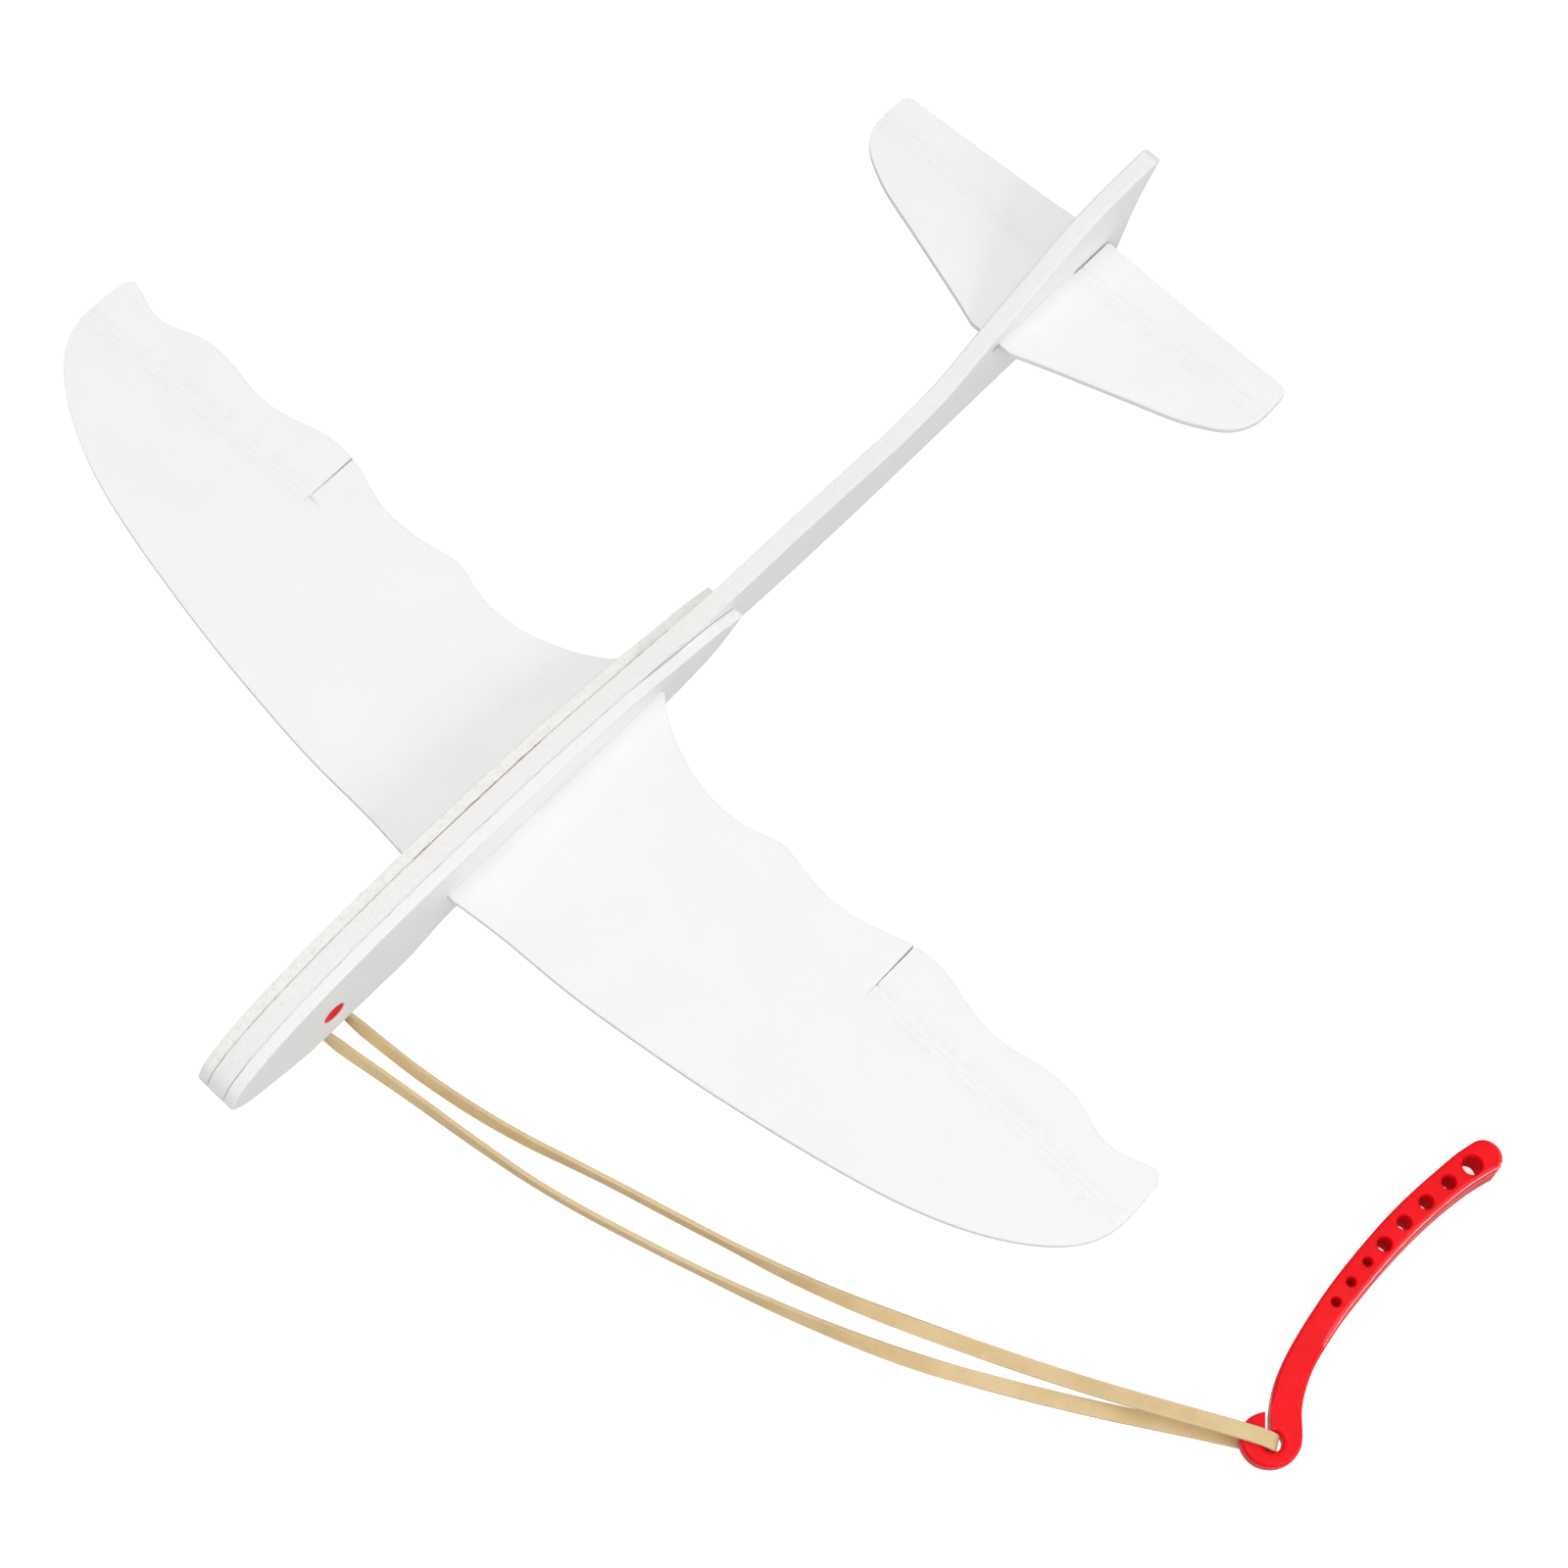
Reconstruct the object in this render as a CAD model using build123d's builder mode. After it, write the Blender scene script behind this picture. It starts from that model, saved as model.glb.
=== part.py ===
from build123d import *
import math
import os

# Foam catapult glider with its launching band and hooked hand grip.
#
# Frame: +Z up, +Y aft (tail), +X towards the port (left) wing tip.
# The origin is on the plane of symmetry, on the axis of the launch hook
# under the nose, at the level of the surface that the glider rests on.

os.makedirs("parts", exist_ok=True)

# ---------------------------------------------------------------- dimensions
# fuselage
CORE_T = 4.8            # thickness of the middle fuselage plate
GLUE_T = 0.15           # adhesive film between the core and a cheek
CHEEK_T = 2.85          # thickness of a side plate
CHEEK_IN = CORE_T / 2 + GLUE_T
CHEEK_OUT = CHEEK_IN + CHEEK_T
BELLY_Z = 4.0           # underside of nose and boom above the ground

# wing, 318 mm span
WING_Z = 16.0           # mid-plane of the wing sheet
WING_T = 2.0            # sheet thickness
WING_LE_Y = 34.6        # leading edge inside the fuselage
WING_TE_Y = 101.5       # trailing edge inside the fuselage

# tailplane, 119 mm span
TAIL_Z = 20.4
TAIL_T = 2.0
TAIL_LE_Y = 216.9
TAIL_TE_Y = 255.3

# control surfaces
AIL_X0 = 86.4           # inner cut of the aileron
AIL_HINGE_IN = (86.4, 81.5)
AIL_HINGE_OUT = (158.6, 79.5)
ELEV_X0 = 2.9           # inner edge of the elevator, clear of the boom
ELEV_HINGE_Y = 244.1
ELEV_HINGE_OUT = 59.3
FLAP_CUT = 0.3          # width of a knife cut and of the crease clearance
FLAP_R = 1.0            # rounded front edge of a flap, about its crease line
GROOVE_R = 1.15         # hollow behind which the flap turns

# launch hook moulded into the nose
NECK_R = 2.2
FOOT_R = 3.3
FOOT_T = 0.8
BOSS_R = 2.8
HOLE_R = 2.9
BOSS_Y, BOSS_Z = 0.2, 11.8
BOSS_OUT = 4.9

# hand grip
GRIP_T = 9.0            # thickness of the grip
GRIP_MID = 4.5          # its mid-plane above the ground
HOOK_T = 4.6            # thickness at the hook end
POCKET = (210.4, 68.3)
POCKET_R = 2.15

# rubber band: a flat strip, 3.0 x 1.1 mm, of the same section area as this rod
BAND_R = 1.0


# ------------------------------------------------------------ shared outlines
# One half of the wing, with the scalloped trailing edge.
WING_LE = [(20, 35.8), (38, 36.6), (56, 38.4), (74, 40.8), (92, 43.9),
           (110, 47.6), (122, 50.7), (134, 55.0), (143, 59.5), (150, 64.3),
           (154.5, 68.6), (157.6, 73.5), (159.1, 79.5), (159.2, 84.5),
           (158.8, 90.0)]
WING_TE = [(156.5, 93.0), (153, 91.9), (149.5, 90.7), (146, 90.2), (141, 91.1),
           (135, 93.2), (128.5, 93.8), (122, 93.1), (116, 92.0), (110, 92.0),
           (104, 93.0), (98, 94.8), (92, 95.6), (86.4, 95.2), (80, 93.4),
           (74, 91.6), (68, 90.9), (62, 91.1), (56, 92.1), (50, 93.0),
           (44, 91.5), (38, 90.3), (32, 90.3), (26, 91.2), (20, 93.2),
           (14, 95.8), (9, 99.0)]
TAIL_LE = [(12, 219.1), (20, 221.8), (30, 225.1), (38, 227.7), (46, 230.5),
           (51, 233.0), (55, 235.6), (57.6, 238.7), (59.0, 242.3),
           (59.3, 246.3), (59.1, 251.4)]
TAIL_TE = [(56.6, 253.6), (50, 253.7), (34, 254.1), (18, 254.6), (10, 255.0)]

# Side view of the fuselage core as (y, z): keel, boom and fin in one plate.
NOSE_BOTTOM = [(-29.5, 11.7), (-26.8, 9.2), (-20.9, 7.1), (-13.3, 5.0),
               (-8.5, BELLY_Z)]
CORE_TOP = [(-29.5, 13.0), (-27.6, 15.9), (-24.6, 18.0), (-20.0, 20.0),
            (-14.0, 21.9), (-4.5, 23.9), (3.5, 25.0), (15.5, 26.1),
            (35.5, 26.9), (56.5, 26.7), (71.5, 26.0), (86.5, 24.6),
            (96.5, 23.3), (105.5, 22.2), (119.5, 20.6), (131.5, 19.8),
            (143.5, 19.6), (153.5, 19.2), (165.5, 18.4), (176.5, 17.6),
            (182.5, 17.2), (188.5, 17.2), (194.5, 17.7), (200.0, 18.6),
            (204.9, 20.2), (214.5, 24.2), (221.5, 26.8), (228.5, 29.2),
            (234.5, 31.4), (241.5, 33.9), (248.5, 35.8), (258.5, 36.9),
            (269.0, 37.3)]
FIN_TE = [(272.2, 36.2), (267.3, 28.6), (264.2, 21.7), (260.4, 10.3),
          (258.0, BELLY_Z)]
BOOM_BOTTOM = [(175.5, BELLY_Z), (164.5, 4.3), (152, 4.8), (141, 5.5),
               (130.2, 6.5), (115, 7.1), (99.8, 7.3)]
# the underside climbs in an S from the nose to the level under the wing
BELLY_RISE = [(37.5, 7.3), (32.5, 6.95), (27.5, 5.65), (22.5, 4.35),
              (18.0, BELLY_Z)]

with BuildSketch(Plane.XY) as wing_outline:
    with BuildLine():
        l1 = Line((0, WING_LE_Y), (7, WING_LE_Y))
        l2 = Spline([(7, WING_LE_Y)] + WING_LE)
        l3 = ThreePointArc(WING_LE[-1], (158.0, 92.1), WING_TE[0])
        l4 = Spline(WING_TE)
        l5 = Line(WING_TE[-1], (6.2, WING_TE_Y))
        l6 = Line((6.2, WING_TE_Y), (0, WING_TE_Y))
        l7 = Line((0, WING_TE_Y), (0, WING_LE_Y))
    make_face()
    mirror(about=Plane.YZ)

with BuildSketch(Plane.XY) as tail_outline:
    with BuildLine():
        l1 = Line((0, TAIL_LE_Y), (6, TAIL_LE_Y))
        l2 = Spline([(6, TAIL_LE_Y)] + TAIL_LE)
        l3 = ThreePointArc(TAIL_LE[-1], (58.35, 252.9), TAIL_TE[0])
        l4 = Spline(TAIL_TE + [(5.5, TAIL_TE_Y)])
        l5 = Line((5.5, TAIL_TE_Y), (0, TAIL_TE_Y))
        l6 = Line((0, TAIL_TE_Y), (0, TAIL_LE_Y))
    make_face()
    mirror(about=Plane.YZ)

# The moulded insert that fills the pocket in the nose.
INSERT = [(-7.2, 9.0), (-8.6, 12.0), (-7.0, 17.6), (-2.0, 19.8), (5.0, 20.0),
          (8.6, 17.2), (8.8, 12.0), (7.2, 9.0)]
with BuildSketch(Plane.XY) as insert_outline:
    with BuildLine():
        Polyline(INSERT + [INSERT[0]])
    make_face()
    fillet(insert_outline.vertices(), 1.2)


# ------------------------------------------------------------------- fuselage
# Core: the full-length plate with the boom and the fin, slotted for the wing
# and the tailplane and pocketed for the launch hook.
with BuildPart() as fuselage_core:
    with BuildSketch(Plane.YZ.offset(-CORE_T / 2)):
        with BuildLine():
            Spline(CORE_TOP)
            ThreePointArc(CORE_TOP[-1], (271.35, 37.05), FIN_TE[0])
            Spline(FIN_TE)
            Line(FIN_TE[-1], BOOM_BOTTOM[0])
            Spline(BOOM_BOTTOM)
            Line(BOOM_BOTTOM[-1], BELLY_RISE[0])
            Spline(BELLY_RISE, tangents=[(-1, 0), (-1, 0)])
            Line(BELLY_RISE[-1], NOSE_BOTTOM[-1])
            Spline(NOSE_BOTTOM[::-1])
            ThreePointArc(NOSE_BOTTOM[0], (-29.75, 12.35), CORE_TOP[0])
        make_face()
    extrude(amount=CORE_T)
    with BuildSketch(Plane.YZ.offset(-CORE_T / 2)):
        with Locations(((WING_LE_Y + WING_TE_Y) / 2, WING_Z)):
            Rectangle(WING_TE_Y - WING_LE_Y, WING_T)
        with Locations(((TAIL_LE_Y + TAIL_TE_Y) / 2, TAIL_Z)):
            Rectangle(TAIL_TE_Y - TAIL_LE_Y, TAIL_T)
        add(insert_outline.sketch)
        with Locations((0, 6.0)):
            Rectangle(2 * NECK_R, 8.0)
    extrude(amount=CORE_T, mode=Mode.SUBTRACT)
fuselage_core.part.label = "fuselage_core"

# Cheek: side plate over the nose and the wing root, pointed at its aft end.
CHEEK_TOP = [(x, z) for x, z in CORE_TOP if x < 90] + [
    (96.5, 23.2), (104.0, 21.6), (111.5, 20.0), (119.5, 18.4), (127.6, 15.6)]
with BuildPart() as cheek_left:
    with BuildSketch(Plane.YZ.offset(CHEEK_IN)):
        with BuildLine():
            Spline(CHEEK_TOP)
            Spline([(127.6, 15.6), (119.5, 10.9), (110.9, 9.0), (101.0, 8.2)])
            Line((101.0, 8.2), (99.0, 7.3))
            Line((99.0, 7.3), BELLY_RISE[0])
            Spline(BELLY_RISE, tangents=[(-1, 0), (-1, 0)])
            Line(BELLY_RISE[-1], NOSE_BOTTOM[-1])
            Spline(NOSE_BOTTOM[::-1])
            ThreePointArc(NOSE_BOTTOM[0], (-29.75, 12.35), CHEEK_TOP[0])
        make_face()
        with Locations(((WING_LE_Y + WING_TE_Y) / 2, WING_Z)):
            Rectangle(WING_TE_Y - WING_LE_Y, WING_T, mode=Mode.SUBTRACT)
        with Locations((BOSS_Y, BOSS_Z)):
            Circle(HOLE_R, mode=Mode.SUBTRACT)
    extrude(amount=CHEEK_T)
cheek_left.part.label = "cheek_left"

with BuildPart() as cheek_right:
    mirror(cheek_left.part, about=Plane.YZ)
cheek_right.part.label = "cheek_right"

# Adhesive film: the cheek's outline pulled in from its edge.
with BuildPart() as adhesive_left:
    with BuildSketch(Plane.YZ.offset(CORE_T / 2)):
        with BuildLine():
            Polyline((-27.5, 12.4), (-24.0, 17.2), (-13.0, 21.2), (3.5, 24.2),
                     (35.5, 26.2), (56.5, 26.1), (71.5, 25.4), (86.5, 24.0),
                     (96.5, 22.5), (111.5, 19.2), (124.0, 16.2),
                     (118.0, 11.4), (100.0, 8.3), (35.0, 8.0), (22.0, 5.0),
                     (-8.0, 4.8), (-20.0, 7.8), (-27.5, 12.4))
        make_face()
        with Locations(((WING_LE_Y + WING_TE_Y) / 2, WING_Z)):
            Rectangle(WING_TE_Y - WING_LE_Y, WING_T, mode=Mode.SUBTRACT)
        with Locations((BOSS_Y, BOSS_Z)):
            Circle(HOLE_R + 0.4, mode=Mode.SUBTRACT)
    extrude(amount=GLUE_T)
adhesive_left.part.label = "adhesive_left"

with BuildPart() as adhesive_right:
    mirror(adhesive_left.part, about=Plane.YZ)
adhesive_right.part.label = "adhesive_right"


# ----------------------------------------------------------------------- wing
# Crease planes: their normal runs outboard along the crease.
ail_dir = Vector(AIL_HINGE_OUT[0] - AIL_HINGE_IN[0],
                 AIL_HINGE_OUT[1] - AIL_HINGE_IN[1], 0).normalized()
ail_plane = Plane(origin=(AIL_HINGE_IN[0] - ail_dir.X, AIL_HINGE_IN[1]
                          - ail_dir.Y, WING_Z), z_dir=ail_dir)
elev_plane = Plane(origin=(ELEV_X0 - 1.0, ELEV_HINGE_Y, TAIL_Z),
                   z_dir=(1, 0, 0))
slope = (AIL_HINGE_OUT[1] - AIL_HINGE_IN[1]) / (AIL_HINGE_OUT[0]
                                                - AIL_HINGE_IN[0])


def crease_y(x):
    """y of the aileron's crease line at the station x"""
    return AIL_HINGE_IN[1] + slope * (x - AIL_HINGE_IN[0])


# Aileron: everything behind the crease and outboard of the inner cut. Its
# front edge is rounded about the crease line, which is the hinge axis.
with BuildPart() as aileron_left:
    with BuildSketch(Plane.XY.offset(WING_Z - WING_T / 2)):
        add(wing_outline.sketch)
        with BuildLine(mode=Mode.PRIVATE) as behind:
            Polyline((AIL_X0 + FLAP_CUT / 2, crease_y(AIL_X0) - FLAP_R),
                     (165, crease_y(165) - FLAP_R), (165, 105),
                     (AIL_X0 + FLAP_CUT / 2, 105),
                     (AIL_X0 + FLAP_CUT / 2, crease_y(AIL_X0) - FLAP_R))
        make_face(behind.edges(), mode=Mode.INTERSECT)
    extrude(amount=WING_T)
    fillet(aileron_left.edges().filter_by(
        lambda e: e.length > 60 and e.geom_type == GeomType.LINE), FLAP_R - 0.01)
aileron_left.part.label = "aileron_left"

with BuildPart() as aileron_right:
    mirror(aileron_left.part, about=Plane.YZ)
aileron_right.part.label = "aileron_right"

# Wing panel: one sheet through the fuselage, hollowed along each crease.
with BuildPart() as wing_panel:
    with BuildSketch(Plane.XY.offset(WING_Z - WING_T / 2)):
        add(wing_outline.sketch)
    extrude(amount=WING_T)
    with BuildPart(mode=Mode.PRIVATE) as flap_room:
        with BuildSketch(Plane.XY.offset(WING_Z - 2)):
            with BuildLine():
                Polyline((AIL_X0 - FLAP_CUT / 2, crease_y(AIL_X0)),
                         (170, crease_y(170)), (170, 110),
                         (AIL_X0 - FLAP_CUT / 2, 110),
                         (AIL_X0 - FLAP_CUT / 2, crease_y(AIL_X0)))
            make_face()
        extrude(amount=4)
        with BuildSketch(ail_plane.offset(1.0 - FLAP_CUT / 2)):
            Circle(GROOVE_R)
        extrude(amount=80)
    add(flap_room.part, mode=Mode.SUBTRACT)
    add(flap_room.part.mirror(Plane.YZ), mode=Mode.SUBTRACT)
wing_panel.part.label = "wing_panel"


# ------------------------------------------------------------------ tailplane
with BuildPart() as elevator_left:
    with BuildSketch(Plane.XY.offset(TAIL_Z - TAIL_T / 2)):
        add(tail_outline.sketch)
        with Locations((ELEV_X0 + 40, ELEV_HINGE_Y - FLAP_R + 15)):
            Rectangle(80, 30, mode=Mode.INTERSECT)
    extrude(amount=TAIL_T)
    fillet(elevator_left.edges().filter_by(
        lambda e: e.length > 50 and e.geom_type == GeomType.LINE
        and e.center().Y < ELEV_HINGE_Y), FLAP_R - 0.01)
elevator_left.part.label = "elevator_left"

with BuildPart() as elevator_right:
    mirror(elevator_left.part, about=Plane.YZ)
elevator_right.part.label = "elevator_right"

with BuildPart() as tailplane:
    with BuildSketch(Plane.XY.offset(TAIL_Z - TAIL_T / 2)):
        add(tail_outline.sketch)
    extrude(amount=TAIL_T)
    with BuildPart(mode=Mode.PRIVATE) as elev_room:
        with BuildSketch(Plane.XY.offset(TAIL_Z - 2)):
            with Locations((CORE_T / 2 + 40, ELEV_HINGE_Y + 15)):
                Rectangle(80, 30)
        extrude(amount=4)
        with BuildSketch(Plane(origin=(CORE_T / 2, ELEV_HINGE_Y, TAIL_Z),
                               z_dir=(1, 0, 0))):
            Circle(GROOVE_R)
        extrude(amount=70)
    add(elev_room.part, mode=Mode.SUBTRACT)
    add(elev_room.part.mirror(Plane.YZ), mode=Mode.SUBTRACT)
tailplane.part.label = "tailplane"


# ---------------------------------------------------------------- launch hook
# Moulded insert: plate in the nose pocket, round bosses that show in the
# cheeks' holes, and a neck with a foot under the belly that holds the band.
with BuildPart() as launch_hook:
    with BuildSketch(Plane.YZ.offset(-CORE_T / 2)):
        add(insert_outline.sketch)
    extrude(amount=CORE_T)
    with BuildSketch(Plane.YZ.offset(-BOSS_OUT)):
        with Locations((BOSS_Y, BOSS_Z)):
            Circle(BOSS_R)
    extrude(amount=2 * BOSS_OUT)
    with BuildSketch(Plane.XY):
        Circle(NECK_R)
    extrude(amount=10.0)
    with BuildSketch(Plane.XY):
        Circle(FOOT_R)
    extrude(amount=FOOT_T)
    fillet(launch_hook.edges().filter_by(GeomType.CIRCLE)
           .filter_by(lambda e: abs(e.radius - FOOT_R) < 1e-3
                      and e.center().Z > 0.1), 0.3)
launch_hook.part.label = "launch_hook"


# ------------------------------------------------------------------ hand grip
GRIP_LEFT = [(200.9, 145.6), (200.1, 142.5), (199.4, 138.0), (198.7, 132.3),
             (198.1, 126.3), (197.8, 119.8), (197.8, 113.7), (198.0, 107.0),
             (198.4, 100.8), (199.1, 94.8), (200.0, 89.2), (201.1, 84.0),
             (202.6, 79.2), (204.3, 75.6), (206.3, 72.5)]
HOOK_BOW = [(205.4, 71.9), (204.1, 69.9), (203.7, 67.2), (204.9, 64.4),
            (207.3, 62.7), (210.6, 62.4), (213.7, 64.0), (215.7, 67.2),
            (215.8, 70.6), (214.3, 73.4)]
GRIP_RIGHT = [(211.0, 77.2), (208.7, 81.2), (206.8, 86.6), (205.9, 91.8),
              (205.2, 97.4), (204.8, 103.6), (204.6, 109.7), (204.6, 115.6),
              (204.8, 121.7), (205.3, 127.8), (206.1, 133.9), (207.3, 139.9),
              (208.7, 144.6)]
GRIP_HOLES = [((204.0, 141.9), 2.2), ((202.7, 135.5), 1.6),
              ((201.9, 128.8), 1.6), ((201.3, 122.2), 1.6),
              ((201.2, 115.7), 1.6), ((201.0, 110.3), 1.05),
              ((201.2, 104.6), 1.05), ((201.6, 99.2), 1.05)]
with BuildPart() as launch_handle:
    with BuildSketch(Plane.XY):
        with BuildLine():
            Spline(GRIP_LEFT)
            Line(GRIP_LEFT[-1], HOOK_BOW[0])
            Spline(HOOK_BOW + GRIP_RIGHT)
            ThreePointArc(GRIP_RIGHT[-1], (205.4, 148.9), GRIP_LEFT[0])
        make_face()
    extrude(amount=GRIP_T)
    # the shank thins towards the hook, above and below
    low = GRIP_MID - HOOK_T / 2
    with BuildSketch(Plane.YZ.offset(180)):
        with BuildLine():
            Polyline((50, -1), (50, low), (78, low), (103, 0), (103, -1),
                     (50, -1))
        make_face()
        with BuildLine():
            Polyline((50, GRIP_T + 1), (50, GRIP_T - low), (78, GRIP_T - low),
                     (103, GRIP_T), (103, GRIP_T + 1), (50, GRIP_T + 1))
        make_face()
    extrude(amount=50, mode=Mode.SUBTRACT)
    # eye of the hook, rimmed for the band
    with BuildSketch(Plane.XY):
        with Locations(POCKET):
            Circle(POCKET_R)
    extrude(amount=GRIP_T, mode=Mode.SUBTRACT)
    fillet(launch_handle.edges().filter_by(GeomType.CIRCLE)
           .filter_by(lambda e: abs(e.radius - POCKET_R) < 1e-3), 1.1)
    # mouth of the hook, narrower than the band
    with BuildSketch(Plane.XY):
        with Locations((206.9, 71.0)):
            Rectangle(5.2, 1.1, rotation=-50)
    extrude(amount=GRIP_T, mode=Mode.SUBTRACT)
    # row of holes through the grip
    with BuildSketch(Plane.XY):
        for where, r in GRIP_HOLES:
            with Locations(where):
                Circle(r)
    extrude(amount=GRIP_T, mode=Mode.SUBTRACT)
launch_handle.part.label = "launch_handle"


# ---------------------------------------------------------------- rubber band
# A loop that closes behind the neck of the launch hook: round the neck, out
# along the front strand, under the arm of the grip's hook, up through its
# eye, over the arm and back along the rear strand. The first two corners and
# the two at the eye are as tight as the things that they go round. Its two
# ends meet within a hair at the seam of the loop.
BAND_ROUTE = [
    (-3.29, -0.33, 2.20), (-3.00, -3.58, 2.20),
    (7.8, -2.9, 2.10), (24.6, -0.3, 1.25), (45.8, 2.2, 1.05),
    (65.0, 5.15, 1.05), (91.9, 12.35, 1.05), (118.1, 20.4, 1.05),
    (143.6, 30.4, 1.05), (164.4, 41.3, 1.05), (181.0, 50.7, 1.05),
    (193.2, 57.4, 1.05), (202.4, 62.6, 1.05),
    (209.75, 68.0, 1.05), (209.75, 68.0, 7.90),
    (201.4, 64.0, 7.90), (188.6, 57.7, 6.20), (171.6, 50.1, 3.00),
    (149.2, 40.5, 1.30), (120.4, 28.7, 1.05), (92.8, 21.0, 1.05),
    (69.2, 14.9, 1.05), (48.8, 8.8, 1.05), (28.0, 5.2, 1.30),
    (9.6, 3.8, 2.05),
    (-3.58, 3.00, 2.20), (-3.294, -0.28, 2.20),
]
TIGHT = {1: 3.2, 25: 3.17, 13: 2.2, 14: 2.2}

radii = []
for i in range(1, len(BAND_ROUTE) - 1):
    a, b, c = (Vector(*BAND_ROUTE[j]) for j in (i - 1, i, i + 1))
    turn = (b - a).get_angle(c - b)
    shorter = min((b - a).length, (c - b).length)
    r = TIGHT.get(i, 0.45 * shorter / math.tan(math.radians(turn / 2)))
    radii.append(r)
    print(f"band corner {i}: turn {turn:.1f} deg, runs {(b - a).length:.1f} "
          f"and {(c - b).length:.1f} mm, radius {r:.1f} mm")

with BuildPart() as rubber_band:
    with BuildLine() as band_line:
        FilletPolyline(*BAND_ROUTE, radius=radii)
    band_path = band_line.wires()[0]
    with BuildSketch(Plane(origin=band_path @ 0, z_dir=band_path % 0)):
        Circle(BAND_R)
    sweep(path=band_path)
rubber_band.part.label = "rubber_band"
band_length = band_path.length
print(f"band length {band_length:.1f} mm, volume {rubber_band.part.volume:.1f}, "
      f"section x length {math.pi * BAND_R ** 2 * band_length:.1f}")


# --------------------------------------------------------------------- export
for piece in (fuselage_core, cheek_left, cheek_right, adhesive_left,
              adhesive_right, wing_panel, aileron_left, aileron_right,
              tailplane, elevator_left, elevator_right, launch_hook,
              launch_handle, rubber_band):
    export_step(piece.part, f"parts/{piece.part.label}.step")
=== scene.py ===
import bpy
import bmesh
import math
import numpy as np
from mathutils import Vector, Matrix, geometry


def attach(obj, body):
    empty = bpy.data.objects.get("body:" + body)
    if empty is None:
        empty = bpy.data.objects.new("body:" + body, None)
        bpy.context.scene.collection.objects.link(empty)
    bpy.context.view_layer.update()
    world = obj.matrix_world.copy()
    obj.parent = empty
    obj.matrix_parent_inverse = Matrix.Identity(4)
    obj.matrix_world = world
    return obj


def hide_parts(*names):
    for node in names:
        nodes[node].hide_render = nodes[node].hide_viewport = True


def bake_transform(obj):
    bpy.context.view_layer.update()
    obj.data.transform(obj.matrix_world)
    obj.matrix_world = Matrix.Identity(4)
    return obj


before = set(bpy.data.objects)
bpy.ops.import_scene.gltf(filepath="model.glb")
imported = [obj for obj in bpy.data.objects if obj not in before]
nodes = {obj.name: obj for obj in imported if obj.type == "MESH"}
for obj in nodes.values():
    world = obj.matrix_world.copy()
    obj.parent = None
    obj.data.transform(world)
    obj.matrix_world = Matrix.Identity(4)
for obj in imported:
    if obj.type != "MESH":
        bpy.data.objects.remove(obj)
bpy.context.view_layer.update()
MM = 0.001
rng = np.random.default_rng(7)
scene = bpy.context.scene


# ------------------------------------------------------------------ camera
RIGHT = Vector((0.731861821, 0.681322736, 0.013326793))
DOWN = Vector((0.630753728, -0.669880464, -0.391675756))
AHEAD = Vector((-0.257930240, 0.295058456, -0.920006793))
cam_data = bpy.data.cameras.new("camera")
cam_data.sensor_fit = "HORIZONTAL"
cam_data.sensor_width = 36.0
cam_data.lens = 75.3375
cam_data.clip_start = 0.01
cam_data.clip_end = 20.0
cam = bpy.data.objects.new("camera", cam_data)
scene.collection.objects.link(cam)
turn = Matrix((RIGHT, -DOWN, -AHEAD)).transposed()
cam.matrix_world = Matrix.Translation((0.225655, -0.108531, 0.677956)) @ turn.to_4x4()
scene.camera = cam
scene.view_settings.view_transform = "Standard"
scene.view_settings.look = "None"


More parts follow.
